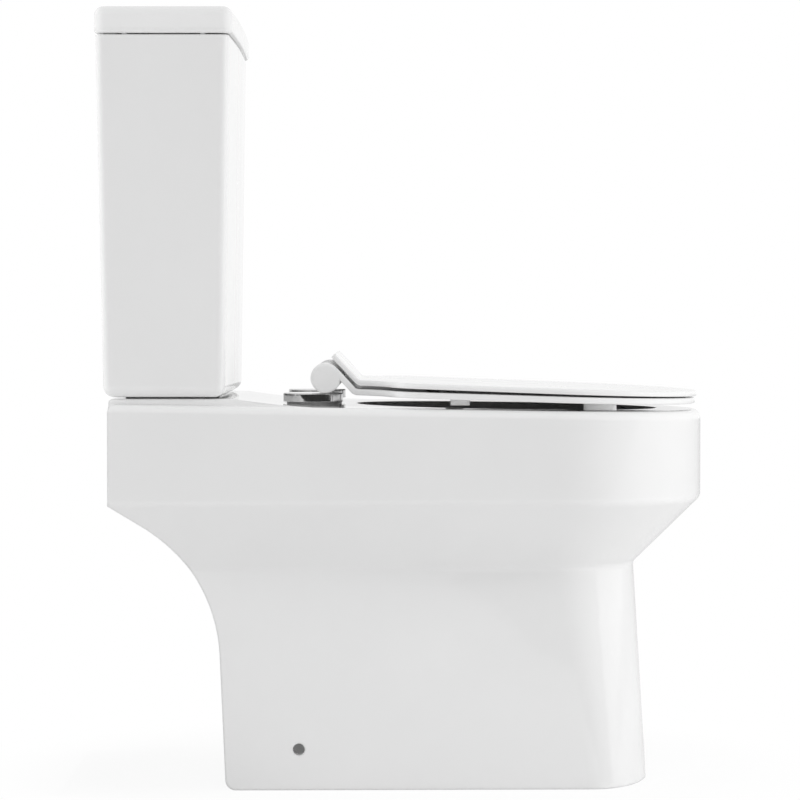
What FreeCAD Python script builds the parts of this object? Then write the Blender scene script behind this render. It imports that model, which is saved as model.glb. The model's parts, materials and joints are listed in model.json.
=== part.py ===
import FreeCAD, Part
import math
import os
from FreeCAD import Placement, Rotation, Vector

# Floor-standing close-coupled toilet, millimetres, +Z up, front of the bowl towards -Y.
# The origin lies on the floor at the middle of the whole object's box.

doc = FreeCAD.newDocument("toilet")

# Driving dimensions
SIZES = {
    "pan_height": 401.2, "pan_half": 180, "pan_front": 318.5, "pan_back": 305, "pan_nose": 160,
    "rim_slope": 0.85, "rim_round": 8.4, "band_depth": 99.2, "band_round": 11,
    "overhang_drop": 71, "waist_front": 246.5, "waist_half": 110, "waist_rear": 148, "waist_nose": 92,
    "crease_round": 8, "foot_front": 260.5, "foot_half": 118, "foot_rear": 127, "foot_nose": 66,
    "foot_back": 186.5, "foot_corner": 11, "arch_lean": 10, "arch_round": 170,
    "china_wall": 12, "deck_thick": 15.2, "bowl_half": 130, "bowl_front": 270, "bowl_back": 52,
    "sump_place": 112, "sump_height": 58, "trap_bore": 40, "spigot_radius": 51, "outlet_height": 180,
    "side_hole_radius": 6.25, "side_hole_place": 111, "side_hole_height": 43,
    "platform_rise": 9, "swell_place": 62, "tank_gap": 1.6, "tank_height": 370.7, "tank_half_top": 177,
    "tank_half_base": 171, "tank_front_top": 177.7, "tank_front_base": 183.3, "tank_back_top": 317,
    "tank_back_base": 310.2, "tank_bow": 2.5, "tank_wall": 9, "tank_floor": 10, "tank_corner": 8.5,
    "tank_edge": 11.5, "joint_round": 1, "joint_gap": 1.4,
    "wall_hole_radius": 4, "wall_hole_spacing": 200,
    "lid_height": 28, "lid_overhang": 1.5, "lid_front_overhang": 3.5, "lid_edge": 10, "lid_lip_round": 4,
    "lid_plate": 12, "lid_rim": 13.5, "lid_foot_radius": 3,
    "hinge_spacing": 156, "hinge_disc_place": 97, "hinge_disc_radius": 31.5, "hinge_disc_thick": 9.2,
    "hinge_pad_thick": 4, "hinge_pad_inset": 4, "hinge_place": 83, "hinge_rise": 29.4,
    "barrel_radius": 15.8, "barrel_round": 3, "pin_radius": 4,
    "seat_half": 178, "seat_front": 314, "seat_nose": 158, "seat_tongue": 118,
    "ring_thick": 6.6, "ring_rise": 9.85, "ring_tilt": 1.75, "ring_hole_half": 103, "ring_hole_front": 248,
    "ring_hole_back": 12, "cover_thick": 5.8, "cover_rise": 19.85, "cover_tilt": 2.1, "cover_gap": 3.3,
    "hinge_slope": 47, "bolt_radius": 4, "valve_radius": 30, "tail_radius": 10.475,
    "button_radius": 19.4,
}

sheet = doc.addObject("Spreadsheet::Sheet", "sizes")
for row, (alias, number) in enumerate(SIZES.items(), start=1):
    sheet.set(f"A{row}", alias.replace("_", " "))
    sheet.set(f"B{row}", str(number))
    sheet.setAlias(f"B{row}", alias)
doc.recompute()


def size(alias):
    """A driving dimension, read from the sheet."""
    return float(getattr(sheet, alias))


# Places that follow from the driving dimensions
PLACES = {
    "band_z": "sizes.pan_height - sizes.band_depth",
    "waist_z": "places.band_z - sizes.overhang_drop",
    "deck_under": "sizes.pan_height - sizes.deck_thick",
    "platform_z": "sizes.pan_height + sizes.platform_rise",
    "tank_z": "places.platform_z + sizes.tank_gap",
    "tank_inside": "places.tank_z + sizes.tank_floor",
    "tank_top": "places.tank_z + sizes.tank_height",
    "lid_z": "places.tank_top + sizes.joint_gap",
    "lid_top": "places.lid_z + sizes.lid_height",
    "lid_under": "places.lid_top - sizes.lid_plate",
    "bow_radius": "(sizes.tank_half_top ^ 2 + sizes.tank_bow ^ 2) / (2 * sizes.tank_bow)",
    "front_lean": "(sizes.tank_front_base - sizes.tank_front_top) / sizes.tank_height",
    "valve_y": "(sizes.tank_front_base + sizes.tank_back_base) / 2",
    "fill_x": "sizes.tank_half_base - sizes.tank_wall - 33",
    "hinge_x": "sizes.hinge_spacing / 2",
    "axis_z": "sizes.pan_height + sizes.hinge_rise",
    "pad_top": "sizes.pan_height + sizes.hinge_pad_thick",
    "disc_top": "places.pad_top + sizes.hinge_disc_thick",
    "spigot_end": "sizes.foot_back + 5",
    "recess_z": "places.platform_z - 26",
    "coupling_x": "sizes.valve_radius + 42",
    "flange_z": "places.tank_inside + 3",
    "seat_z": "places.flange_z + 5",
    "tower_top": "places.seat_z + 0.5 * sizes.tank_height",
    "cap_z": "places.flange_z + 0.6 * sizes.tank_height",
    "float_z": "places.flange_z + 0.13 * sizes.tank_height",
    "button_z": "places.lid_under",
    "web_z": "places.lid_top - 38",
    "wall_hole_z": "places.tank_top - 45",
}
places = doc.addObject("App::VarSet", "places")
for name, expression in PLACES.items():
    places.addProperty("App::PropertyFloat", name)
    places.setExpression(name, expression)
doc.recompute()


def place(name):
    """A derived place, read after the sheet was worked out."""
    return float(getattr(places, name))


nodes = []


def keep(feature, label):
    """Marks a feature as one named sub-part of the assembly."""
    feature.Label = label
    nodes.append(feature)
    return feature


# Bound primitives and booleans
def bind(feature, expressions):
    for path, expression in expressions.items():
        feature.setExpression(path, expression)
    return feature


ALONG_X = Rotation(Vector(0, 1, 0), 90)
ALONG_Y = Rotation(Vector(1, 0, 0), -90)


def cylinder(name, radius, height, x="0", y="0", z="0", turn=None):
    feature = doc.addObject("Part::Cylinder", name)
    if turn:
        feature.Placement = Placement(Vector(), turn)
    return bind(feature, {"Radius": radius, "Height": height, "Placement.Base.x": x,
                          "Placement.Base.y": y, "Placement.Base.z": z})


def box(name, length, width, height, x="0", y="0", z="0"):
    feature = doc.addObject("Part::Box", name)
    return bind(feature, {"Length": length, "Width": width, "Height": height, "Placement.Base.x": x,
                          "Placement.Base.y": y, "Placement.Base.z": z})


def cut(name, base, tool):
    feature = doc.addObject("Part::Cut", name)
    feature.Base = base
    feature.Tool = tool
    return feature


def common(name, base, tool):
    feature = doc.addObject("Part::Common", name)
    feature.Base = base
    feature.Tool = tool
    return feature


def fuse(name, features):
    feature = doc.addObject("Part::MultiFuse", name)
    feature.Shapes = features
    feature.Refine = True
    return feature


def tube(name, outer, inner, height, x="0", y="0", z="0"):
    """A ring or pipe standing along Z."""
    whole = cylinder(name + "_outer", outer, height, x, y, z)
    hole = cylinder(name + "_inner", inner, f"{height} + 2", x, y, f"{z} - 1")
    return cut(name, whole, hole)


def pair(label, feature):
    """The feature and its mirror image across the middle plane, as one node of separate solids."""
    other = doc.addObject("Part::Mirroring", label + "_other")
    other.Source = feature
    other.Normal = Vector(1, 0, 0)
    both = doc.addObject("Part::Compound", label)
    both.Links = [feature, other]
    return keep(both, label)


def solid_node(label, shape):
    """A sub-part whose form is built from curves, for which no bound feature fits."""
    feature = doc.addObject("Part::Feature", label)
    feature.Shape = shape
    return keep(feature, label)


def wing_nut(label, x, y, top):
    """Two wing nuts hanging under a washer whose lower face is at top."""
    hub = cylinder(label + "_hub", "2 * sizes.bolt_radius", "9", x, y, f"{top} - 9")
    wings = box(label + "_wings", "3", "7.5 * sizes.bolt_radius", "12", f"{x} - 1.5",
                f"{y} - 3.75 * sizes.bolt_radius", f"{top} - 13")
    hole = cylinder(label + "_hole", "sizes.bolt_radius + 0.1", "16", x, y, f"{top} - 15")
    return pair(label, cut(label + "_one", fuse(label + "_body", [hub, wings]), hole))


# Curves and shells for the ceramics and the seat
def d_wire(z, half, rear, front, back, nose):
    """D outline at height z: straight back, sides running to a half width at the rear, elliptic nose."""
    middle = nose - front
    wide, deep = rear / half, (back - middle) / nose
    start = math.acos(1 / math.hypot(wide, deep)) - math.atan2(deep, wide)
    tangent_x, tangent_y = half * math.cos(start), middle - nose * math.sin(start)
    if nose > half:
        ellipse = Part.Ellipse(Vector(0, middle - nose, z), Vector(half, middle, z), Vector(0, middle, z))
    else:
        ellipse = Part.Ellipse(Vector(half, middle, z), Vector(0, middle + nose, z), Vector(0, middle, z))
    left, right = Vector(-tangent_x, tangent_y, z), Vector(tangent_x, tangent_y, z)
    first, last = ellipse.parameter(left), ellipse.parameter(right)
    if last <= first:
        last += 2 * math.pi
    corners = [right, Vector(rear, back, z), Vector(-rear, back, z), left]
    edges = [Part.makeLine(a, b) for a, b in zip(corners, corners[1:])]
    edges.append(Part.ArcOfEllipse(ellipse, first, last).toShape())
    return Part.Wire(edges)


def oval_wire(z, half, front, back):
    """Ellipse at height z between two places along Y."""
    middle = (front + back) / 2
    side, end = Vector(half, middle, z), Vector(0, back, z)
    if back - middle > half:
        side, end = end, Vector(-half, middle, z)
    return Part.Wire([Part.Ellipse(side, end, Vector(0, middle, z)).toShape()])


def slab(points, half):
    """Polygon in the YZ plane, drawn across X on both sides of the middle plane."""
    corners = [Vector(-half, y, z) for y, z in points]
    return Part.Face(Part.makePolygon(corners + corners[:1])).extrude(Vector(2 * half, 0, 0))


def rounded_path(points, radius):
    """Path through points of the YZ plane, with an arc at every inner corner."""
    corners = [Vector(0, y, z) for y, z in points]
    edges, last = [], corners[0]
    for before, corner, after in zip(corners, corners[1:], corners[2:]):
        back = (before - corner).normalize()
        ahead = (after - corner).normalize()
        half_angle = back.getAngle(ahead) / 2
        reach = radius / math.tan(half_angle)
        bisector = (back + ahead).normalize()
        nearest = corner + bisector * (radius / math.sin(half_angle) - radius)
        edges.append(Part.makeLine(last, corner + back * reach))
        edges.append(Part.Arc(corner + back * reach, nearest, corner + ahead * reach).toShape())
        last = corner + ahead * reach
    edges.append(Part.makeLine(last, corners[-1]))
    return Part.Wire(edges)


def pipe(path, radius):
    """Round solid swept along a path that starts along +Y."""
    start = path.OrderedVertexes[0].Point
    ring = Part.Wire([Part.makeCircle(radius, start, Vector(0, 1, 0))])
    return path.makePipeShell([ring], True, False)


def all_points(test):
    """Test of an edge that asks the same of points all along it."""
    return lambda edge: all(test(point) for point in edge.discretize(7))


def edges_at(shape, test):
    """Edges whose points all pass the test."""
    return [edge for edge in shape.Edges if not edge.Degenerated and all_points(test)(edge)]


def near(a, b, slack=0.05):
    return abs(a - b) < slack


def looks(face, point):
    """Outward direction of a face at a point."""
    u, v = face.Surface.parameter(point)
    return face.normalAt(u, v)


# Pan: outer skin
pan_z, band_z, waist_z = size("pan_height"), place("band_z"), place("waist_z")
pan_back = size("pan_back")
pad_seat_r = size("hinge_disc_radius") - size("hinge_pad_inset") + 0.5


def rim_z(y):
    """Height of the pan's top, which falls towards the front; pan_height is met ahead of the hinge pads."""
    return pan_z + (y - size("hinge_disc_place") + pad_seat_r) * math.tan(math.radians(size("rim_slope")))


def skin(inset, back, bottom, top):
    """Ruled D-shaped solid that narrows from the rim band to the waist and leans out to the foot."""
    rim = [size("pan_half") - inset, size("pan_half") - inset, size("pan_front") - inset]
    waist = [size("waist_half") - inset, size("waist_rear") - inset, size("waist_front") - inset]
    foot = [size("foot_half") - inset, size("foot_rear") - inset, size("foot_front") - inset]
    noses = [size("pan_nose") - inset, size("waist_nose") - inset, size("foot_nose") - inset]
    wires = [
        d_wire(bottom, *foot, back, noses[2]),
        d_wire(waist_z, *waist, back, noses[1]),
        d_wire(band_z, *rim, back, noses[0]),
        d_wire(top, *rim, back, noses[0]),
    ]
    return Part.makeLoft(wires, True, True)


outer = skin(0, pan_back, 0, rim_z(pan_back) + 1).removeSplitter()
crease = edges_at(outer, lambda p: near(p.z, waist_z))
outer = outer.makeFillet(size("crease_round"), crease)
band_edge = edges_at(outer, lambda p: near(p.z, band_z))
outer = outer.makeFillet(size("band_round"), band_edge)

# Pan: arch cut away behind the foot, whose lower corner is rounded, then the sloped top with its rounded edge
arch = slab([(size("foot_back"), -20), (size("foot_back") + size("arch_lean"), waist_z),
             (pan_back + 1, band_z - 1), (pan_back + 60, band_z - 1), (pan_back + 60, -20)],
            size("pan_half") + 20)
arch_y = size("foot_back") + size("arch_lean")
arch_corner = edges_at(arch, lambda p: near(p.y, arch_y) and near(p.z, waist_z))
arch = arch.makeFillet(size("arch_round"), arch_corner)
outer = outer.cut(arch)
foot_edge = edges_at(outer, lambda p: near(p.z, 0) and p.y > size("foot_back") - 1)
outer = outer.makeFillet(size("foot_corner"), foot_edge)
top_front, top_back = -size("pan_front") - 20, pan_back + 20
above = slab([(top_front, rim_z(top_front)), (top_back, rim_z(top_back)), (top_back, rim_z(top_back) + 40),
              (top_front, rim_z(top_back) + 40)], size("pan_half") + 20)
outer = outer.cut(above)
top_edge = edges_at(outer, lambda p: near(p.z, rim_z(p.y)))
outer = outer.makeFillet(size("rim_round"), top_edge)

# Pan: bowl as fractions of depth, width, reach ahead of and behind the sump
BOWL = [(0.0, 0.22, 0.19, 0.18), (0.11, 0.33, 0.285, 0.27), (0.24, 0.38, 0.38, 0.28),
        (0.39, 0.577, 0.595, 0.378), (0.53, 0.754, 0.797, 0.512), (0.71, 0.908, 0.918, 0.73),
        (0.88, 0.985, 0.98, 0.94), (1.0, 1.0, 1.0, 1.0)]


def bowl(grow, bottom, top):
    """Bowl-shaped solid, grown sideways, from bottom to top."""
    sump = -size("sump_place")
    wires = []
    for depth, width, ahead, behind in BOWL:
        front = sump - (size("bowl_front") - size("sump_place")) * ahead - grow
        back = sump + (size("bowl_back") + size("sump_place")) * behind + grow
        half = size("bowl_half") * width + grow
        wires.append(oval_wire(bottom + (top - bottom) * depth, half, front, back))
    return Part.makeLoft(wires, True, False)


wall = size("china_wall")
sump_z = size("sump_height")
bowl_space = bowl(0, sump_z, pan_z)
bowl_shell = bowl(wall, sump_z - wall, pan_z - 2)

# Pan: trap that rises behind the sump, over the weir and out through the spigot
outlet_z, trap_z = size("outlet_height"), size("sump_height") + size("trap_bore") - 3
trap_points = [(-size("sump_place"), trap_z), (65 - size("sump_place"), trap_z), (48, outlet_z + 80),
               (128, outlet_z), (place("spigot_end"), outlet_z)]
trap_path = rounded_path(trap_points, size("spigot_radius") + 8)
trap_shell = pipe(trap_path, size("spigot_radius"))
trap_mouth = Vector(0, place("spigot_end") - 15, outlet_z)
trap_end = Part.makeCylinder(size("trap_bore"), 30, trap_mouth, Vector(0, 1, 0))
trap_space = pipe(trap_path, size("trap_bore")).fuse(trap_end)

# Pan: flush channel from the cistern's inlet to the back of the bowl
valve_y, recess_z = place("valve_y"), place("recess_z")
channel_z = place("deck_under") - 34
channel_half = 28
bowl_back = size("bowl_back")
shell_height = pan_z - channel_z + wall - 3
channel_shell = Part.makeBox(2 * (channel_half + wall), valve_y - bowl_back + 20, shell_height,
                             Vector(-channel_half - wall, bowl_back - 20, channel_z - wall))
channel_space = Part.makeBox(2 * channel_half, valve_y - bowl_back + 30, 24,
                             Vector(-channel_half, bowl_back - 30, channel_z))
inlet_r = size("valve_radius") + 4
recess_r = size("valve_radius") + 16.4
inlet_shell = Part.makeCylinder(recess_r + wall, shell_height, Vector(0, valve_y, channel_z - wall))
inlet_space = Part.makeCylinder(inlet_r, 100, Vector(0, valve_y, channel_z))
inlet_space = inlet_space.fuse(Part.makeCylinder(recess_r, 60, Vector(0, valve_y, recess_z)))

# Pan: raised platform for the cistern, swept up gently behind the seat's hinges and coved at its sides
rise, platform_z, swell_y = size("platform_rise"), place("platform_z"), size("swell_place")
platform_half = size("pan_half") - size("rim_round") - 2
platform_front = size("tank_front_base") - 6
# How far the swept faces start under the deck and end above the top, so that they cross both cleanly
SUNK, PROUD = 0.3, 0.15
EIGHTH = math.sqrt(0.5)
base_z = pan_z - size("rim_round") - 3
edge = Vector(-platform_half, 0, 0)
corners = [Vector(0, platform_front, platform_z), Vector(0, pan_back - rise / 2, platform_z),
           Vector(0, pan_back, platform_z - rise / 2), Vector(0, pan_back, base_z),
           Vector(0, swell_y, base_z), Vector(0, swell_y, rim_z(swell_y) - SUNK)]
swell_middle = Vector(0, (swell_y + platform_front) / 2, corners[5].z + (platform_z - corners[5].z) / 4)
back_middle = corners[1] + Vector(0, EIGHTH * rise / 2, (EIGHTH - 1) * rise / 2)
edges = [Part.Arc(corners[5], swell_middle, corners[0]).toShape(),
         Part.Arc(corners[1], back_middle, corners[2]).toShape()]
for start, end in ((0, 1), (2, 3), (3, 4), (4, 5)):
    edges.append(Part.makeLine(corners[start], corners[end]))
lengthwise = Part.Face(Part.Wire(Part.__sortEdges__(edges)))
lengthwise = lengthwise.translated(edge).extrude(-2 * edge)


def platform_side(side):
    """Two quarter arcs across one side of the platform: a cove out of the deck, then a rounded shoulder."""
    foot = Vector(side * platform_half, swell_y - 1, pan_z - SUNK)
    radius = (SUNK + rise + PROUD) / 2
    inward, upward = Vector(-side * radius, 0, 0), Vector(0, 0, radius)
    waist = foot + inward + upward
    shoulder = waist + inward + upward
    cove = Part.Arc(foot, foot + inward * EIGHTH + upward * (1 - EIGHTH), waist).toShape()
    crown = Part.Arc(waist, waist + inward * (1 - EIGHTH) + upward * EIGHTH, shoulder).toShape()
    below = Vector(foot.x, foot.y, base_z)
    return [Part.makeLine(below, foot), cove, crown], below, shoulder


left_edges, left_below, left_shoulder = platform_side(-1)
right_edges, right_below, right_shoulder = platform_side(1)
edges = left_edges + right_edges
edges.append(Part.makeLine(left_shoulder, right_shoulder))
edges.append(Part.makeLine(left_below, right_below))
crosswise = Part.Face(Part.Wire(Part.__sortEdges__(edges)))
platform = lengthwise.common(crosswise.extrude(Vector(0, pan_back + 2 - swell_y, 0)))
# Land in the middle of the platform that carries the cistern
land_half, land_sunk, land_clear = platform_half - 40, 2, 0.3
land_front, land_back = size("tank_front_base") + 25, size("tank_back_base") - 20
land = Part.makeBox(2 * land_half, land_back - land_front, land_sunk + size("tank_gap") - land_clear,
                    Vector(-land_half, land_front, platform_z - land_sunk))

# Pan: hollow underside, then everything joined and drilled
hollow = skin(wall, pan_back + 50, -10, place("deck_under"))
for piece in (bowl_shell, trap_shell, channel_shell, inlet_shell):
    hollow = hollow.cut(piece)
pan = outer.fuse(platform).fuse(land).cut(hollow)
holes = [bowl_space, trap_space, channel_space, inlet_space]
seat_hole_r, coupling_hole_r, fill_hole_r = 8, 6, 24
for side in (-1, 1):
    seat_hole = Vector(side * place("hinge_x"), size("hinge_disc_place"), pan_z - 40)
    holes.append(Part.makeCylinder(seat_hole_r, 60, seat_hole))
    holes.append(Part.makeCylinder(pad_seat_r, 20, Vector(seat_hole.x, seat_hole.y, pan_z)))
    coupling_hole = Vector(side * place("coupling_x"), valve_y, pan_z - 60)
    holes.append(Part.makeCylinder(coupling_hole_r, 80, coupling_hole))
    holes.append(Part.makeCylinder(size("side_hole_radius"), 60, Vector(side * (size("foot_rear") - 30),
                 size("side_hole_place"), size("side_hole_height")), Vector(side, 0, 0)))
holes.append(Part.makeCylinder(fill_hole_r, 80, Vector(place("fill_x"), valve_y, pan_z - 60)))
for piece in holes:
    pan = pan.cut(piece)
solid_node("pan", pan)
print("pan solids", len(pan.Solids), "valid", pan.isValid(), "litres", round(pan.Volume / 1e6, 2))


# Cistern: tapered box with a bowed front, standing on the platform
def rounded(name, base, radius, test):
    """Part fillet on the base's edges that pass the test."""
    doc.recompute()
    made = doc.addObject("Part::Fillet", name)
    made.Base = base
    picked = []
    for index, edge in enumerate(base.Shape.Edges, start=1):
        if not edge.Degenerated and test(edge):
            picked.append((index, radius, radius))
    made.Edges = picked
    doc.recompute()
    return made


def level(z):
    """Test for edges that lie at one height."""
    return all_points(lambda point: near(point.z, z))


def upright(least):
    """Test for edges that climb at least so far."""
    return lambda edge: edge.BoundBox.ZLength > least


def drum(name, inset, front, lean, start, height):
    """Large cylinder whose near face is the bowed front, moved back by an inset; start is below its place."""
    feature = doc.addObject("Part::Cylinder", name)
    feature.Placement = Placement(Vector(), Rotation(Vector(1, 0, 0), 1))
    return bind(feature, {
        "Radius": f"places.bow_radius - ({inset})", "Height": height,
        "Placement.Rotation.Angle": f"atan({lean})",
        "Placement.Base.y": f"{front} + places.bow_radius * sqrt(1 + ({lean}) ^ 2) + {DRUM_END} * {lean}",
        "Placement.Base.z": f"{start} - {DRUM_END}",
    })


# How far the bow's cylinder runs past each end, and the flat box past its front
DRUM_END, FRONT_SPARE = 160, 30


def tank_form(name, inset, bottom, extra):
    """Tank-shaped block, inset from the outer faces, from a bottom place to a little past the mouth."""
    wedge = doc.addObject("Part::Wedge", name + "_wedge")
    wedge.Placement = Placement(Vector(), Rotation(Vector(1, 0, 0), 90))
    bind(wedge, {
        "Ymin": bottom, "Ymax": f"places.tank_top + {extra}",
        "Xmin": f"-(sizes.tank_half_base - {inset})", "Xmax": f"sizes.tank_half_base - {inset}",
        "X2min": f"-(sizes.tank_half_top - {inset})", "X2max": f"sizes.tank_half_top - {inset}",
        "Zmin": f"-(sizes.tank_back_base - {inset})", "Zmax": f"-(sizes.tank_front_base - {FRONT_SPARE})",
        "Z2min": f"-(sizes.tank_back_top - {inset})", "Z2max": f"-(sizes.tank_front_top - {FRONT_SPARE})",
    })
    front = drum(name + "_bow", inset, "sizes.tank_front_base", "places.front_lean", "places.tank_z",
                 f"sizes.tank_height + 2 * {DRUM_END}")
    return common(name, wedge, front)


VY = "places.valve_y"
block = tank_form("tank_block", "0", "places.tank_z", "0")
block = rounded("tank_corners", block, size("tank_corner"), upright(size("tank_height") / 2))
block = rounded("tank_foot_round", block, size("tank_edge"), level(place("tank_z")))
block = rounded("tank_mouth_round", block, size("joint_round"), level(place("tank_top")))
space = tank_form("tank_space_block", "sizes.tank_wall", "places.tank_inside", "5")
tank_tools = [rounded("tank_space", space, size("tank_wall"), level(place("tank_inside")))]
for name, radius, x in [("valve_hole", "sizes.valve_radius + 1", "0"),
                        ("bolt_hole_left", "sizes.bolt_radius + 1.5", "-places.coupling_x"),
                        ("bolt_hole_right", "sizes.bolt_radius + 1.5", "places.coupling_x"),
                        ("tail_hole", "sizes.tail_radius + 1", "places.fill_x")]:
    tank_tools.append(cylinder(name, radius, "sizes.tank_floor + 10", x, VY, "places.tank_z - 5"))
for name, side in [("wall_hole_left", "-0.5"), ("wall_hole_right", "0.5")]:
    tank_tools.append(cylinder(name, "sizes.wall_hole_radius", "40", f"{side} * sizes.wall_hole_spacing",
                               "sizes.tank_back_base - 20", "places.wall_hole_z", ALONG_Y))
keep(cut("tank", block, fuse("tank_tools", tank_tools)), "cistern_tank")


# Cistern lid: overhangs the tank all round and stands on four small feet
def lid_form(name, inset, bottom, height):
    """Lid-shaped block, inset from the lid's outer faces."""
    half = f"sizes.tank_half_top + sizes.lid_overhang - {inset}"
    back = f"sizes.tank_back_top + sizes.lid_overhang - {inset}"
    front = f"sizes.tank_front_top - {FRONT_SPARE}"
    slab_box = box(name + "_box", f"2 * ({half})", f"{back} - ({front})", height, f"-({half})", front, bottom)
    bow = drum(name + "_bow", f"{inset} - sizes.lid_front_overhang", "sizes.tank_front_top", "0", bottom,
               f"{height} + 2 * {DRUM_END}")
    return common(name, slab_box, bow)


LID_CORNER = size("tank_corner") + size("lid_front_overhang")
block = lid_form("lid_block", "0", "places.lid_z", "sizes.lid_height")
block = rounded("lid_corners", block, LID_CORNER, upright(size("lid_height") / 2))
block = rounded("lid_top_round", block, size("lid_edge"), level(place("lid_top")))
block = rounded("lid_lip", block, size("lid_lip_round"), level(place("lid_z")))
lid_tools = fuse("lid_tools", [
    lid_form("lid_space", "sizes.lid_rim", "places.lid_z - 5", "sizes.lid_height - sizes.lid_plate + 5"),
    cylinder("lid_bore", "sizes.button_radius + 2.1", "sizes.lid_height + 10", "0", VY, "places.lid_z - 5"),
])
lid_pieces = [cut("lid_shell", block, lid_tools)]
FOOT_DROP = "(sizes.joint_gap - 0.3)"
for name, side, reach in [("front_left", "-1", "-40"), ("front_right", "1", "-40"),
                          ("back_left", "-1", "40"), ("back_right", "1", "40")]:
    lid_pieces.append(cylinder("lid_foot_" + name, "sizes.lid_foot_radius", f"{FOOT_DROP} + 2",
                               f"{side} * (sizes.tank_half_top - sizes.tank_wall / 2)", f"{VY} + {reach}",
                               f"places.lid_z - {FOOT_DROP}"))
keep(fuse("lid", lid_pieces), "cistern_lid")

# Seat: both plates lie nearly flat and turn up to the hinge at the rear
axis_y, axis_z = size("hinge_place"), place("axis_z")
slope = math.radians(size("hinge_slope"))
along = (math.cos(slope), math.sin(slope))
across = (-math.sin(slope), math.cos(slope))
barrel_r = size("barrel_radius")


def hinge_point(shift, distance):
    """Point of the YZ plane, moved from the hinge axis along the turned-up plate and across it."""
    return (axis_y + shift * along[0] + distance * across[0],
            axis_z + shift * along[1] + distance * across[1])


def plate(under, thick, rise, tilt, end, inner_round, outer_round):
    """Bent plate: flat under face at a rise above the rim, turned up at a distance under the axis."""
    lean = math.tan(math.radians(tilt))
    front = -size("seat_front") - 20
    edges = []
    for lift in (0, thick):
        start_y, start_z = hinge_point(0, under + lift)
        flat_z = pan_z + rise + lift
        bend = (flat_z + start_y * lean - start_z) / (along[1] - along[0] * lean)
        edges.append([(front, flat_z + front * lean), hinge_point(bend, under + lift),
                      hinge_point(end, under + lift)])
    lower, upper = edges
    block = slab(lower + upper[::-1], size("seat_half") + 10)
    lower_bend = edges_at(block, lambda p: near(p.y, lower[1][0]) and near(p.z, lower[1][1]))
    block = block.makeFillet(inner_round, lower_bend)
    upper_bend = edges_at(block, lambda p: near(p.y, upper[1][0]) and near(p.z, upper[1][1]))
    return block.makeFillet(outer_round, upper_bend)


def seat_outline(inset):
    """Upright block with the seat's plan: D front, shoulders drawn in to the hinge tongue."""
    half, tongue = size("seat_half") - inset, size("seat_tongue")
    front, nose, base = size("seat_front") - inset, size("seat_nose") - inset, pan_z - 20
    middle = nose - front
    neck, rear = axis_y - 25, axis_y + barrel_r + 12
    reach = 1.4 * (size("seat_half") - tongue)
    shoulder, handle = neck - reach, 0.72 * reach
    centre = Vector(0, middle, base)
    ellipse = Part.Ellipse(Vector(half, middle, base), Vector(0, middle + nose, base), centre)
    arc = Part.ArcOfEllipse(ellipse, math.pi, 2 * math.pi).toShape()
    edges = [arc]
    for side in (1, -1):
        turn = Part.BezierCurve()
        turn.setPoles([Vector(side * half, shoulder, base), Vector(side * half, shoulder + handle, base),
                       Vector(side * tongue, neck - handle, base), Vector(side * tongue, neck, base)])
        edges.append(Part.makeLine(Vector(side * half, middle, base), Vector(side * half, shoulder, base)))
        edges.append(turn.toShape())
        edges.append(Part.makeLine(Vector(side * tongue, neck, base), Vector(side * tongue, rear, base)))
    edges.append(Part.makeLine(Vector(tongue, rear, base), Vector(-tongue, rear, base)))
    wire = Part.Wire(Part.__sortEdges__(edges))
    return Part.Face(wire).extrude(Vector(0, 0, 120))


def outline_edges(shape, sign):
    """Edges between upright faces and faces that look up (sign 1) or down (sign -1)."""
    found = []
    for edge in shape.Edges:
        point = edge.valueAt((edge.FirstParameter + edge.LastParameter) / 2)
        lifts = [looks(face, point).z for face in shape.ancestorsOfType(edge, Part.Face)]
        if len(lifts) == 2 and min(map(abs, lifts)) < 0.02 and max(sign * lift for lift in lifts) > 0.4:
            found.append(edge)
    return found


def bar(radius, start, end):
    """Cylinder on the hinge axis between two places across."""
    return Part.makeCylinder(radius, end - start, Vector(start, axis_y, axis_z), Vector(1, 0, 0))


hinge_x = place("hinge_x")
body_in, body_out = hinge_x - 15, hinge_x + 15
lug_in, lug_out = hinge_x - 33, body_in - 0.5
tongue = size("seat_tongue")
pin_end = tongue - 2
bore_r = size("pin_radius") + 0.05

ring = plate(barrel_r - size("ring_thick"), size("ring_thick"), size("ring_rise"), size("ring_tilt"), 0, 9, 6)
ring = ring.common(seat_outline(1.5))
hole = oval_wire(pan_z - 10, size("ring_hole_half"), -size("ring_hole_front"), -size("ring_hole_back"))
ring = ring.cut(Part.Face(hole).extrude(Vector(0, 0, 60)))
ring = ring.makeFillet(2, outline_edges(ring, 1))
ring = ring.makeFillet(1.5, outline_edges(ring, -1))
for side in (-1, 1):
    knuckle = sorted([side * (body_out + 0.5), side * tongue])
    space = sorted([side * (lug_in - 0.5), side * (body_out + 0.5)])
    bore = sorted([side * (lug_in - 1), side * (pin_end + 0.3)])
    barrel = bar(barrel_r, *knuckle)
    barrel = barrel.makeFillet(size("barrel_round"), edges_at(barrel, lambda p: near(p.x, side * tongue)))
    ring = ring.fuse(barrel).cut(bar(20, *space)).cut(bar(bore_r, *bore))
ring = ring.removeSplitter()
solid_node("seat_ring", ring)

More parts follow.
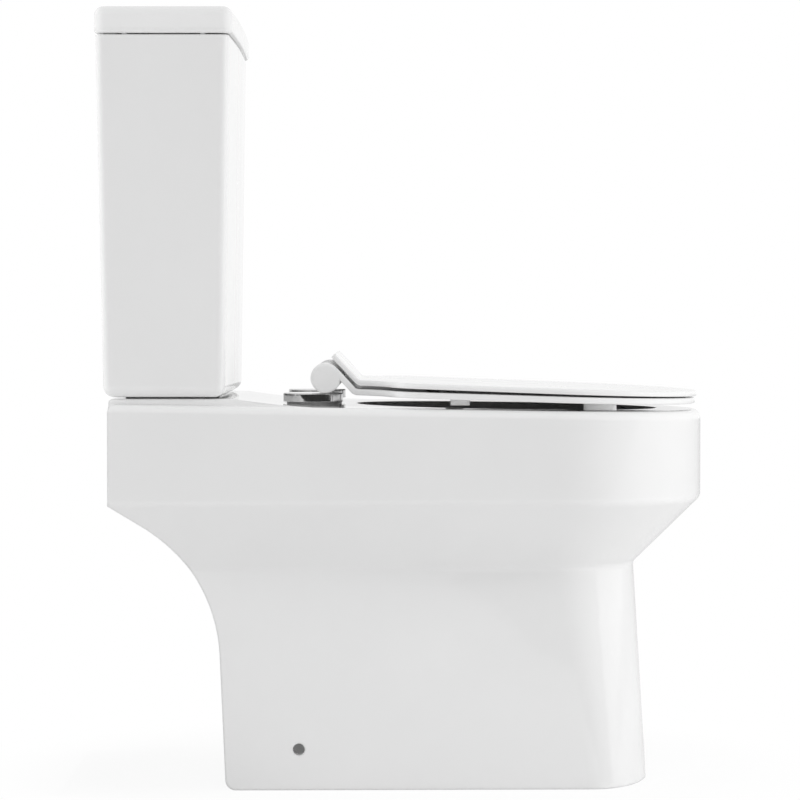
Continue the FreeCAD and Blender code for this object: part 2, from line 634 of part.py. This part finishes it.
cover_under = barrel_r + size("cover_gap")
cover = plate(cover_under, size("cover_thick"), size("cover_rise"), size("cover_tilt"), 12, 12, 6)
cover = cover.common(seat_outline(0))
cover = cover.makeFillet(2.2, outline_edges(cover, 1))
cover = cover.makeFillet(1, outline_edges(cover, -1))
for side in (-1, 1):
    lug = sorted([side * lug_in, side * lug_out])
    web_points = [hinge_point(-9, 0), hinge_point(9, 0), hinge_point(9, cover_under + 1),
                  hinge_point(-9, cover_under + 1)]
    web_face = Part.Face(Part.makePolygon([Vector(lug[0], y, z) for y, z in web_points + web_points[:1]]))
    web = web_face.extrude(Vector(lug[1] - lug[0], 0, 0))
    bore = [lug[0] - 1, lug[1] + 1]
    cover = cover.fuse([bar(13, *lug), web]).cut(bar(bore_r, *bore))
cover = cover.removeSplitter()
solid_node("seat_lid", cover)


def pad(x, y, length, width, top, bottom):
    """Rounded pad whose top follows a plate's sloped face; top gives the height at a place along Y."""
    front, back = y - length / 2, y + length / 2
    points = [(front, bottom), (back, bottom), (back, top(back)), (front, top(front))]
    block = slab(points, width / 2)
    sides = edges_at(block, lambda p: abs(p.x) > width / 2 - 0.01)
    ends_only = [edge for edge in sides if abs(edge.Vertexes[0].Y - edge.Vertexes[1].Y) < length / 2]
    block = block.makeFillet(0.3 * width, ends_only)
    return block.translated(Vector(x, 0, 0))


def sloped(rise, tilt):
    return lambda y: pan_z + rise + y * math.tan(math.radians(tilt))


ring_under = sloped(size("ring_rise"), size("ring_tilt"))
ring_upper = sloped(size("ring_rise") + size("ring_thick"), size("ring_tilt"))
lid_lower = sloped(size("cover_rise"), size("cover_tilt"))
ring_pads, lid_pads = [], []
for side in (-1, 1):
    front_x, front_y = side * 0.83 * size("seat_half"), -0.64 * size("seat_front")
    ring_pads.append(pad(front_x, front_y, 34, 14, ring_under, rim_z(front_y + 17) + 0.3))
    rear_x, rear_y = side * 0.88 * size("seat_half"), -0.18 * size("seat_front")
    ring_pads.append(pad(rear_x, rear_y, 20, 12, ring_under, rim_z(rear_y) + 4))
    for reach in (-0.8, -0.1):
        at = reach * size("seat_front")
        lid_pads.append(pad(side * 0.62 * size("seat_half"), at, 14, 14, lid_lower, ring_upper(at + 7) + 0.3))
solid_node("ring_buffers", Part.makeCompound(ring_pads))
solid_node("lid_buffers", Part.makeCompound(lid_pads))

# Seat hinges, left and right alike
HX, HY, AY, AZ = "places.hinge_x", "sizes.hinge_disc_place", "sizes.hinge_place", "places.axis_z"
STUD = "sizes.bolt_radius"
pair("hinge_pads", tube("pad_ring", "sizes.hinge_disc_radius - sizes.hinge_pad_inset", f"{STUD} + 4",
                        "sizes.hinge_pad_thick", HX, HY, "sizes.pan_height"))
disc = cylinder("disc_body", "sizes.hinge_disc_radius", "sizes.hinge_disc_thick", HX, HY, "places.pad_top")
disc_round = rounded("disc_round", disc, 1.2, level(place("disc_top")))
disc_holes = fuse("disc_holes", [
    cylinder("stud_hole", f"{STUD} + 0.1", "6", HX, HY, "places.pad_top - 1"),
    cylinder("post_hole", "5.1", "sizes.hinge_disc_thick", HX, AY, "places.disc_top - 5"),
])
pair("hinge_bases", cut("disc_drilled", disc_round, disc_holes))
pair("hinge_studs", cylinder("stud", STUD, "sizes.deck_thick + sizes.hinge_pad_thick + 33", HX, HY,
                             "places.deck_under - 28"))
bush_sleeve = cylinder("bush_sleeve", "7.7", "sizes.deck_thick", HX, HY, "places.deck_under")
bush_flange = cylinder("bush_flange", "13", "4", HX, HY, "places.deck_under - 4")
bush_hole = cylinder("bush_hole", f"{STUD} + 0.1", "sizes.deck_thick + 8", HX, HY, "places.deck_under - 6")
pair("hinge_bushes", cut("bush", fuse("bush_body", [bush_sleeve, bush_flange]), bush_hole))
wing_nut("hinge_nuts", HX, HY, "places.deck_under - 4")
pair("hinge_posts", cylinder("post", "5", f"{AZ} - places.disc_top - 4.6", HX, AY, "places.disc_top - 5"))
hinge_block = cylinder("hinge_block", "sizes.barrel_radius - 0.8", "30", f"{HX} - 15", AY, AZ, ALONG_X)
hinge_cavities = fuse("hinge_cavities", [
    cylinder("damper_cavity", "9", "24", f"{HX} - 12", AY, AZ, ALONG_X),
    cylinder("pin_cavity", "sizes.pin_radius + 0.02", "40", f"{HX} - 20", AY, AZ, ALONG_X),
    cylinder("post_cavity", "5.1", "20 - 9.6", HX, AY, f"{AZ} - 20"),
])
pair("hinge_bodies", cut("hinge_hollow", hinge_block, hinge_cavities))
damper = cut("damper", cylinder("damper_case", "8.9", "23.8", f"{HX} - 11.9", AY, AZ, ALONG_X),
             cylinder("damper_bore", "sizes.pin_radius + 0.02", "30", f"{HX} - 15", AY, AZ, ALONG_X))
pair("hinge_dampers", damper)
pin = cylinder("pin", "sizes.pin_radius", f"sizes.seat_tongue - {HX} + 30", f"{HX} - 32", AY, AZ, ALONG_X)
pair("hinge_pins", pin)

# Close coupling between cistern and pan
CX = "places.coupling_x"
keep(tube("gasket", "sizes.valve_radius + 16", "sizes.valve_radius + 9.6", "places.tank_z - places.recess_z",
          "0", VY, "places.recess_z"), "coupling_gasket")
bolt_shaft = cylinder("bolt_shaft", STUD, "places.tank_inside + 5 - places.deck_under + 24", CX, VY,
                      "places.deck_under - 24")
bolt_head = cylinder("bolt_head", f"2.2 * {STUD}", "5", CX, VY, "places.tank_inside + 4")
pair("coupling_bolts", fuse("bolt", [bolt_shaft, bolt_head]))
pair("coupling_seals", tube("bolt_seal", f"3.2 * {STUD}", f"{STUD} + 0.1", "4", CX, VY, "places.tank_inside"))
washer = tube("bolt_washer", f"3 * {STUD}", f"{STUD} + 0.2", "2", CX, VY, "places.deck_under - 2")
pair("coupling_washers", washer)
wing_nut("coupling_nuts", CX, VY, "places.deck_under - 2")

# Flush valve, with the places across of the two push rods
VR = "sizes.valve_radius"
FULL_X, PART_X = "-8.5", "11.5"
valve_tail = cylinder("valve_tail", VR, "places.seat_z - places.tank_z + 41", "0", VY, "places.tank_z - 41")
valve_flange = cylinder("valve_flange", f"{VR} + 11", "5", "0", VY, "places.flange_z")
valve_way = cylinder("valve_way", f"{VR} - 4.5", "200", "0", VY, "places.tank_z - 60")
keep(cut("valve_base", fuse("valve_base_body", [valve_tail, valve_flange]), valve_way), "flush_valve_base")
valve_seal = tube("valve_seal", f"{VR} + 10", f"{VR} + 0.1", "3", "0", VY, "places.tank_inside")
keep(valve_seal, "flush_valve_base_seal")
valve_nut = tube("valve_nut", f"{VR} + 9", f"{VR} + 0.1", "16", "0", VY, "places.tank_z - 16")
keep(valve_nut, "flush_valve_back_nut")
TOWER = "places.tower_top - places.seat_z"
tower_wall = tube("tower_wall", f"{VR} + 4", f"{VR} + 1", TOWER, "0", VY, "places.seat_z")
tower_cap = cylinder("tower_cap", f"{VR} + 4", "8", "0", VY, "places.tower_top")
tower_windows = fuse("tower_windows", [
    box("window_across", f"2 * {VR} + 40", "28", "44", f"-{VR} - 20", f"{VY} - 14", "places.seat_z + 6"),
    box("window_along", "28", f"2 * {VR} + 40", "44", "-14", f"{VY} - {VR} - 20", "places.seat_z + 6"),
    cylinder("full_rod_guide", "3.4", "20", FULL_X, VY, "places.tower_top - 5"),
    cylinder("part_rod_guide", "3.4", "20", PART_X, VY, "places.tower_top - 5"),
])
keep(cut("tower", fuse("tower_body", [tower_wall, tower_cap]), tower_windows), "flush_tower")
keep(tube("sealing_ring", f"{VR} - 1", "13.6", "3", "0", VY, "places.seat_z + 0.3"), "flush_seal")
lift_foot = cylinder("lift_foot", f"{VR} - 2", "3", "0", VY, "places.seat_z + 3.3")
lift_tube = cylinder("lift_tube", "16", f"{TOWER} - 36", "0", VY, "places.seat_z + 3.3")
lift_way = cylinder("lift_way", "13.5", f"{TOWER} + 20", "0", VY, "places.seat_z - 5")
keep(cut("lift", fuse("lift_body", [lift_foot, lift_tube]), lift_way), "overflow_tube")
part_float = tube("part_float", f"{VR} - 2", "16.1", "45", "0", VY, f"places.seat_z + 0.4 * ({TOWER})")
keep(part_float, "part_flush_float")

# Push button in the cistern lid
BR = "sizes.button_radius"
bezel_sleeve = tube("bezel_sleeve", f"{BR} + 1.6", f"{BR} + 0.4", "40.5", "0", VY, "places.web_z")
bezel_flange = tube("bezel_flange", f"{BR} + 8", f"{BR} + 0.4", "2.5", "0", VY, "places.lid_top")
bezel_web = cylinder("bezel_web", f"{BR} + 1", "3", "0", VY, "places.web_z")
rod_holes = fuse("rod_holes", [cylinder("full_rod_hole", "3.4", "10", FULL_X, VY, "places.web_z - 3"),
                               cylinder("part_rod_hole", "3.4", "10", PART_X, VY, "places.web_z - 3")])
keep(cut("bezel", fuse("bezel_body", [bezel_sleeve, bezel_flange, bezel_web]), rod_holes), "button_bezel")
keep(tube("bezel_nut", f"{BR} + 10", f"{BR} + 1.7", "7", "0", VY, "places.lid_under - 7"), "button_lock_nut")
# Place across of the line between the two halves of the button
SPLIT = "3"


def button(label, rod_x, start, width):
    """One half of the round button, cut from a disc, with its own rod and return spring."""
    disc = cylinder(label + "_disc", BR, "places.lid_top + 2 - places.button_z", "0", VY, "places.button_z")
    half = box(label + "_half", width, f"3 * {BR}", "40", start, f"{VY} - 1.5 * {BR}", "places.button_z - 5")
    keep(common(label + "_top", disc, half), label + "_button")
    rod_z = "places.tower_top - 7"
    keep(cylinder(label + "_shaft", "3", f"places.button_z - ({rod_z})", rod_x, VY, rod_z), label + "_rod")
    helix = doc.addObject("Part::Helix", label + "_helix")
    bind(helix, {"Pitch": "4", "Height": "places.button_z - places.web_z - 5", "Radius": "4.7",
                 "Placement.Base.x": rod_x, "Placement.Base.y": VY, "Placement.Base.z": "places.web_z + 4"})
    wire = doc.addObject("Part::Circle", label + "_wire")
    wire.Placement = Placement(Vector(), Rotation(Vector(1, 0, 0), 90))
    bind(wire, {"Radius": "0.6", "Placement.Base.x": f"{rod_x} + 4.7", "Placement.Base.y": VY,
                "Placement.Base.z": "places.web_z + 4"})
    spring = doc.addObject("Part::Sweep", label + "_coil")
    spring.Sections = [wire]
    spring.Spine = (helix, [])
    spring.Solid = True
    spring.Frenet = True
    keep(spring, label + "_spring")


button("full_flush", FULL_X, f"-2 * {BR}", f"2 * {BR} + {SPLIT} - 0.3")
button("part_flush", PART_X, f"{SPLIT} + 0.3", f"2 * {BR}")

# Fill valve standing in the cistern, fed from below
FX = "places.fill_x"
TR = "sizes.tail_radius"
fill_parts = fuse("fill_parts", [
    cylinder("fill_tail", TR, "30", FX, VY, "places.tank_z - 60"),
    cylinder("fill_neck", f"{TR} - 0.3", "places.flange_z - places.tank_z + 36", FX, VY,
             "places.tank_z - 35"),
    cylinder("fill_flange", f"{TR} + 7.5", "4", FX, VY, "places.flange_z"),
    cylinder("fill_stem", f"{TR} + 2.5", "places.cap_z - places.flange_z", FX, VY, "places.flange_z"),
])
fill_way = cylinder("fill_way", "5", "600", FX, VY, "places.tank_z - 90")
keep(cut("fill_body", fill_parts, fill_way), "fill_valve_body")
keep(tube("fill_seal", f"{TR} + 6.5", f"{TR} - 0.2", "3", FX, VY, "places.tank_inside"), "fill_valve_seal")
fill_nut = tube("fill_nut", f"{TR} + 5.5", f"{TR} - 0.2", "10", FX, VY, "places.tank_z - 10")
keep(fill_nut, "fill_valve_lock_nut")
cap_ears = [box("cap_ear_front", "12", "3", "15", f"{FX} - 6", f"{VY} - 8.5", "places.cap_z + 18"),
            box("cap_ear_back", "12", "3", "15", f"{FX} - 6", f"{VY} + 5.5", "places.cap_z + 18")]
cap_body = fuse("cap_body", [cylinder("cap_top", f"{TR} + 6.5", "20", FX, VY, "places.cap_z"), *cap_ears])
PIVOT_Z = "places.cap_z + 28"
cap_hole = cylinder("cap_hole", "1.52", "30", FX, f"{VY} - 15", PIVOT_Z, ALONG_Y)
keep(cut("cap", cap_body, cap_hole), "fill_valve_cap")
keep(cylinder("pivot", "1.5", "17", FX, f"{VY} - 8.5", PIVOT_Z, ALONG_Y), "lever_pin")
lever_bar = box("lever_bar", "34", "10", "5", f"{FX} - 30", f"{VY} - 5", f"{PIVOT_Z} - 2.5")
lever_cuts = fuse("lever_cuts", [
    box("lever_fork", "20", "4.4", "12", f"{FX} - 37.5", f"{VY} - 2.2", f"{PIVOT_Z} - 6"),
    cylinder("lever_hole", "1.55", "30", FX, f"{VY} - 15", PIVOT_Z, ALONG_Y),
])
keep(cut("lever", lever_bar, lever_cuts), "float_lever")
keep(tube("float_cup", "30", f"{TR} + 3.5", "70", FX, VY, "places.float_z"), "fill_float")
ROD_X = f"{FX} - 22"
float_rod = fuse("float_rod_body", [
    cylinder("float_rod_shaft", "1.8", f"{PIVOT_Z} + 12 - places.float_z - 70", ROD_X, VY,
             "places.float_z + 70"),
    cylinder("float_rod_collar", "3.4", "4", ROD_X, VY, f"{PIVOT_Z} - 8.5"),
])
keep(float_rod, "float_rod")

# Checks, then one file for each node
doc.recompute()
faults = []
for item in doc.Objects:
    if "Invalid" in item.State or "Error" in item.State:
        faults.append(item.Name)
for node in nodes:
    if node.Shape.isNull() or not node.Shape.isValid() or not node.Shape.Solids:
        faults.append(node.Label)
if faults:
    raise RuntimeError("features that failed: " + ", ".join(faults))
os.makedirs("parts", exist_ok=True)
for node in nodes:
    node.Shape.exportStep(f"parts/{node.Label}.step")
print(len(nodes), "nodes,", sum(len(node.Shape.Solids) for node in nodes), "solids")
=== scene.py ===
import json
import math

import bpy
from mathutils import Matrix, Vector


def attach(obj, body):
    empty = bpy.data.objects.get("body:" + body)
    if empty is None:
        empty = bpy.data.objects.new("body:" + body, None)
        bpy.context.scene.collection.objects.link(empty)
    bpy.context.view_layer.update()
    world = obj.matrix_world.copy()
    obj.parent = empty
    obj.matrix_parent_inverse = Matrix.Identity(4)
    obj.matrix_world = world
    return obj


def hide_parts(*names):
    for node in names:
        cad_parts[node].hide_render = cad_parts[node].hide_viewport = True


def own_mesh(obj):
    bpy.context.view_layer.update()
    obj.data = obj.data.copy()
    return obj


# White glazed close-coupled toilet seen from its -X side; metres, +Z up, front towards -Y.

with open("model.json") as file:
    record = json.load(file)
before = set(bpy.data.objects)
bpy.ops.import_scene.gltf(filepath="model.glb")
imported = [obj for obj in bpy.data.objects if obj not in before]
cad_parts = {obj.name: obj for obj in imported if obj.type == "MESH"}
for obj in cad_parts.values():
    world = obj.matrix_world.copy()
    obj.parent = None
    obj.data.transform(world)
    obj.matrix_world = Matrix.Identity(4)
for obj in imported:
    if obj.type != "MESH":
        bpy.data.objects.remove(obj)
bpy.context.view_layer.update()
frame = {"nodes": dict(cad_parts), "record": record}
nodes = frame["nodes"]
scene = bpy.context.scene
scene.view_settings.view_transform = "Standard"

MM = 0.001
WHITE = (1.0, 1.0, 1.0, 1.0)

# Materials: most noise values lie between the first two, and a normal's upward part sets where gloss ends
NOISE_LOW, NOISE_HIGH = 0.3, 0.7
NOISE_DETAIL = 3.0
BEVEL_SAMPLES = 8
MATT_BELOW, GLOSS_ABOVE = -0.9, -0.4


def shader(name):
    """New material with its node tree and its principled shader."""
    made = bpy.data.materials.new(name)
    made.use_nodes = True
    return made, made.node_tree, made.node_tree.nodes["Principled BSDF"]


def noise(tree, cells):
    """Noise in the object's own space, so many cells to the metre."""
    place = tree.nodes.new("ShaderNodeTexCoord")
    texture = tree.nodes.new("ShaderNodeTexNoise")
    texture.inputs["Scale"].default_value = cells
    texture.inputs["Detail"].default_value = NOISE_DETAIL
    tree.links.new(place.outputs["Object"], texture.inputs["Vector"])
    return texture.outputs["Fac"]


def spread(tree, value, low, high):
    """Maps a noise value onto a range."""
    node = tree.nodes.new("ShaderNodeMapRange")
    node.inputs["From Min"].default_value = NOISE_LOW
    node.inputs["From Max"].default_value = NOISE_HIGH
    node.inputs["To Min"].default_value = low
    node.inputs["To Max"].default_value = high
    tree.links.new(value, node.inputs["Value"])
    return node.outputs["Result"]


def tint(tree, value, first, second):
    """Mixes two colours by a noise value."""
    node = tree.nodes.new("ShaderNodeMix")
    node.data_type = "RGBA"
    node.inputs["A"].default_value = (*first, 1.0)
    node.inputs["B"].default_value = (*second, 1.0)
    tree.links.new(spread(tree, value, 0.0, 1.0), node.inputs["Factor"])
    return node.outputs["Result"]


def bump(tree, value, depth, normal=None):
    """Raises the surface by up to a depth in metres where the value is high."""
    node = tree.nodes.new("ShaderNodeBump")
    node.inputs["Strength"].default_value = 1.0
    node.inputs["Distance"].default_value = depth
    tree.links.new(value, node.inputs["Height"])
    if normal:
        tree.links.new(normal, node.inputs["Normal"])
    return node.outputs["Normal"]


def eased(tree, radius):
    """Normal that rounds sharp edges by a radius."""
    node = tree.nodes.new("ShaderNodeBevel")
    node.samples = BEVEL_SAMPLES
    node.inputs["Radius"].default_value = radius
    return node.outputs["Normal"]


def underside(tree, rough, matt):
    """Roughness that turns matt where the piece's own normal looks down."""
    place = tree.nodes.new("ShaderNodeTexCoord")
    parts = tree.nodes.new("ShaderNodeSeparateXYZ")
    blend = tree.nodes.new("ShaderNodeMapRange")
    blend.inputs["From Min"].default_value = MATT_BELOW
    blend.inputs["From Max"].default_value = GLOSS_ABOVE
    blend.inputs["To Min"].default_value = matt
    tree.links.new(place.outputs["Normal"], parts.inputs["Vector"])
    tree.links.new(parts.outputs["Z"], blend.inputs["Value"])
    tree.links.new(rough, blend.inputs["To Max"])
    return blend.outputs["Result"]


def plain(name, tones, cells, rough, relief=0.0, edge=0.0, metal=0.0, matt=None):
    """Finish with two close tones, a varied roughness, a fine relief and eased edges."""
    made, tree, bsdf = shader(name)
    grain = noise(tree, cells)
    tree.links.new(tint(tree, grain, *tones), bsdf.inputs["Base Color"])
    roughness = spread(tree, grain, *rough)
    if matt:
        roughness = underside(tree, roughness, matt)
    tree.links.new(roughness, bsdf.inputs["Roughness"])
    bsdf.inputs["Metallic"].default_value = metal
    normal = eased(tree, edge) if edge else None
    if relief:
        normal = bump(tree, grain, relief, normal)
    if normal:
        tree.links.new(normal, bsdf.inputs["Normal"])
    return made


def grey(level):
    """Neutral colour of one level."""
    return (level, level, level)


looks = {
    "white_china": dict(tones=(grey(0.895), grey(0.91)), cells=9.0, rough=(0.02, 0.04),
                        relief=0.01 * MM, edge=4.0 * MM),
    "seat_plastic": dict(tones=(grey(0.90), grey(0.92)), cells=14.0, rough=(0.10, 0.15),
                         relief=0.005 * MM, edge=2.5 * MM, matt=0.6),
    "chrome": dict(tones=(grey(0.58), grey(0.64)), cells=60.0, rough=(0.05, 0.09),
                   relief=0.01 * MM, edge=0.8 * MM, metal=1.0),
    "steel": dict(tones=(grey(0.50), grey(0.62)), cells=300.0, rough=(0.25, 0.4),
                  relief=0.03 * MM, edge=0.4 * MM, metal=1.0),
    "dark_rubber": dict(tones=(grey(0.02), grey(0.04)), cells=400.0, rough=(0.5, 0.7),
                        relief=0.05 * MM, edge=0.5 * MM),
    "clear_pad": dict(tones=(grey(0.35), grey(0.45)), cells=120.0, rough=(0.3, 0.45),
                      relief=0.03 * MM, edge=0.8 * MM),
    "white_plastic": dict(tones=(grey(0.78), grey(0.84)), cells=220.0, rough=(0.35, 0.5),
                          relief=0.03 * MM, edge=0.6 * MM),
    "grey_plastic": dict(tones=((0.34, 0.36, 0.39), (0.42, 0.44, 0.47)), cells=220.0, rough=(0.4, 0.55),
                         relief=0.03 * MM, edge=0.6 * MM),
    "float_plastic": dict(tones=((0.55, 0.58, 0.62), (0.63, 0.66, 0.70)), cells=220.0, rough=(0.4, 0.5),
                          relief=0.03 * MM, edge=0.6 * MM),
}
finishes = {slot: plain(slot, **look) for slot, look in looks.items()}
for item in frame["record"]["subparts"]:
    mesh = nodes[item["node"]].data
    mesh.materials.clear()
    mesh.materials.append(finishes[item["material_slot"]])

# The return springs shorten under their buttons, so copies carried by the cistern lid stand for them
for node, joint in (("full_flush_spring", "full_flush_press"), ("part_flush_spring", "part_flush_press")):
    spring = bpy.data.objects.new(node + "_shown", nodes[node].data.copy())
    scene.collection.objects.link(spring)
    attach(spring, "cistern_lid")
    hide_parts(node)
    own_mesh(spring)


# Floor and studio light
def backdrop(name, tone, rough, near_share, reach):
    """White where the camera looks; within reach of the origin a share of plain shading keeps the shadow."""
    made, tree, bsdf = shader(name)
    bsdf.inputs["Base Color"].default_value = (*tone, 1.0)
    bsdf.inputs["Roughness"].default_value = rough
    glow = tree.nodes.new("ShaderNodeEmission")
    ray = tree.nodes.new("ShaderNodeLightPath")
    place = tree.nodes.new("ShaderNodeTexCoord")
    distance = tree.nodes.new("ShaderNodeVectorMath")
    distance.operation = "LENGTH"
    share = tree.nodes.new("ShaderNodeMapRange")
    share.interpolation_type = "SMOOTHSTEP"
    share.inputs["From Min"].default_value = reach[0]
    share.inputs["From Max"].default_value = reach[1]
    share.inputs["To Min"].default_value = near_share
    seen = tree.nodes.new("ShaderNodeMath")
    seen.operation = "MULTIPLY"
    blend = tree.nodes.new("ShaderNodeMixShader")
    tree.links.new(place.outputs["Object"], distance.inputs[0])
    tree.links.new(distance.outputs["Value"], share.inputs["Value"])
    tree.links.new(ray.outputs["Is Camera Ray"], seen.inputs[0])
    tree.links.new(share.outputs["Result"], seen.inputs[1])
    tree.links.new(seen.outputs[0], blend.inputs["Fac"])
    tree.links.new(bsdf.outputs[0], blend.inputs[1])
    tree.links.new(glow.outputs[0], blend.inputs[2])
    tree.links.new(blend.outputs[0], tree.nodes["Material Output"].inputs["Surface"])
    return made


def sheet(name, corners, material):
    """One flat rectangle with its material, linked into the scene."""
    mesh = bpy.data.meshes.new(name)
    mesh.from_pydata(corners, [], [(0, 1, 2, 3)])
    mesh.materials.append(material)
    made = bpy.data.objects.new(name, mesh)
    scene.collection.objects.link(made)
    return made


FLOOR_HALF = 12.0
floor_corners = [(x * FLOOR_HALF, y * FLOOR_HALF, 0.0) for x, y in [(-1, -1), (1, -1), (1, 1), (-1, 1)]]
floor_white = backdrop("floor_white", tone=grey(0.92), rough=0.9, near_share=0.93, reach=(0.3, 0.5))
sheet("floor", floor_corners, floor_white)

# Low dark card behind the camera for the reflections, hidden from the camera and from scattered light
CARD_X, CARD_TOP, CARD_FRONT, CARD_BACK = -3.7, 1.1, -12.0, 9.0
card_corners = [(CARD_X, CARD_FRONT, 0.0), (CARD_X, CARD_BACK, 0.0),
                (CARD_X, CARD_BACK, CARD_TOP), (CARD_X, CARD_FRONT, CARD_TOP)]
felt = plain("card_felt", tones=(grey(0.03), grey(0.05)), cells=40.0, rough=(0.8, 0.9))
card = sheet("dark_card", card_corners, felt)
card.visible_camera = False
card.visible_diffuse = False

# Dark flag close behind the foot, which keeps the light out of its hollow as a wall would
FLAG_Y, FLAG_HALF, FLAG_TOP = 0.36, 0.16, 0.29
flag_corners = [(-FLAG_HALF, FLAG_Y, 0.0), (FLAG_HALF, FLAG_Y, 0.0),
                (FLAG_HALF, FLAG_Y, FLAG_TOP), (-FLAG_HALF, FLAG_Y, FLAG_TOP)]
flag = sheet("rear_flag", flag_corners, felt)
flag.visible_camera = False
flag.visible_glossy = False

# Strength of the sky for plain light, in reflections and where the camera looks
SKY, MIRRORED, SEEN = 0.61, 0.96, 1.0
world = bpy.data.worlds.new("studio")
scene.world = world
world.use_nodes = True
sky = world.node_tree
sky_ray = sky.nodes.new("ShaderNodeLightPath")
light = sky.nodes["Background"]
light.inputs["Color"].default_value = WHITE
light.inputs["Strength"].default_value = SKY
for strength, ray in ((MIRRORED, "Is Glossy Ray"), (SEEN, "Is Camera Ray")):
    background = sky.nodes.new("ShaderNodeBackground")
    background.inputs["Color"].default_value = WHITE
    background.inputs["Strength"].default_value = strength
    choice = sky.nodes.new("ShaderNodeMixShader")
    sky.links.new(sky_ray.outputs[ray], choice.inputs["Fac"])
    sky.links.new(light.outputs[0], choice.inputs[1])
    sky.links.new(background.outputs[0], choice.inputs[2])
    light = choice
sky.links.new(light.outputs[0], sky.nodes["World Output"].inputs["Surface"])


def softbox(name, place, aim, width, height, power):
    """Area lamp at a place, turned to aim at a point; sizes in metres, power in watts."""
    lamp = bpy.data.lights.new(name, "AREA")
    lamp.shape = "RECTANGLE"
    lamp.size = width
    lamp.size_y = height
    lamp.energy = power
    lamp_object = bpy.data.objects.new(name, lamp)
    lamp_object.location = place
    lamp_object.rotation_euler = (Vector(aim) - Vector(place)).to_track_quat("-Z", "Y").to_euler()
    lamp_object.visible_camera = False
    lamp_object.visible_glossy = False
    scene.collection.objects.link(lamp_object)


CENTRE = (0.0, 0.0, 0.4)
softbox("top_light", (0.0, 0.0, 3.0), CENTRE, width=2.0, height=2.0, power=6.0)
softbox("front_light", (-0.5, -2.6, 1.0), CENTRE, width=0.8, height=1.8, power=24.0)
softbox("rear_light", (-0.5, 2.6, 1.0), CENTRE, width=0.8, height=1.8, power=20.0)
softbox("floor_light", (-1.4, 0.0, 1.6), (-1.4, 0.0, 0.0), width=1.0, height=2.6, power=4.0)

# Camera at the photograph's place, in metres; focal length and horizon in pixels of the square picture
CAMERA_PLACE = (-3.281, 0.0054, 0.4994)
PICTURE = 800
FOCAL_PIXELS = 3035.0
HORIZON_PIXEL = 312.0
SENSOR_WIDTH = 36.0
CLIP_END = 100.0
camera_data = bpy.data.cameras.new("camera")
camera_data.sensor_width = SENSOR_WIDTH
camera_data.lens = FOCAL_PIXELS / PICTURE * SENSOR_WIDTH
camera_data.clip_end = CLIP_END
camera = bpy.data.objects.new("camera", camera_data)
tilt = math.atan((PICTURE / 2 - HORIZON_PIXEL) / FOCAL_PIXELS)
look = Vector((math.cos(tilt), 0.0, -math.sin(tilt)))
camera.matrix_world = Matrix.Translation(CAMERA_PLACE) @ look.to_track_quat("-Z", "Y").to_matrix().to_4x4()
scene.collection.objects.link(camera)
scene.camera = camera
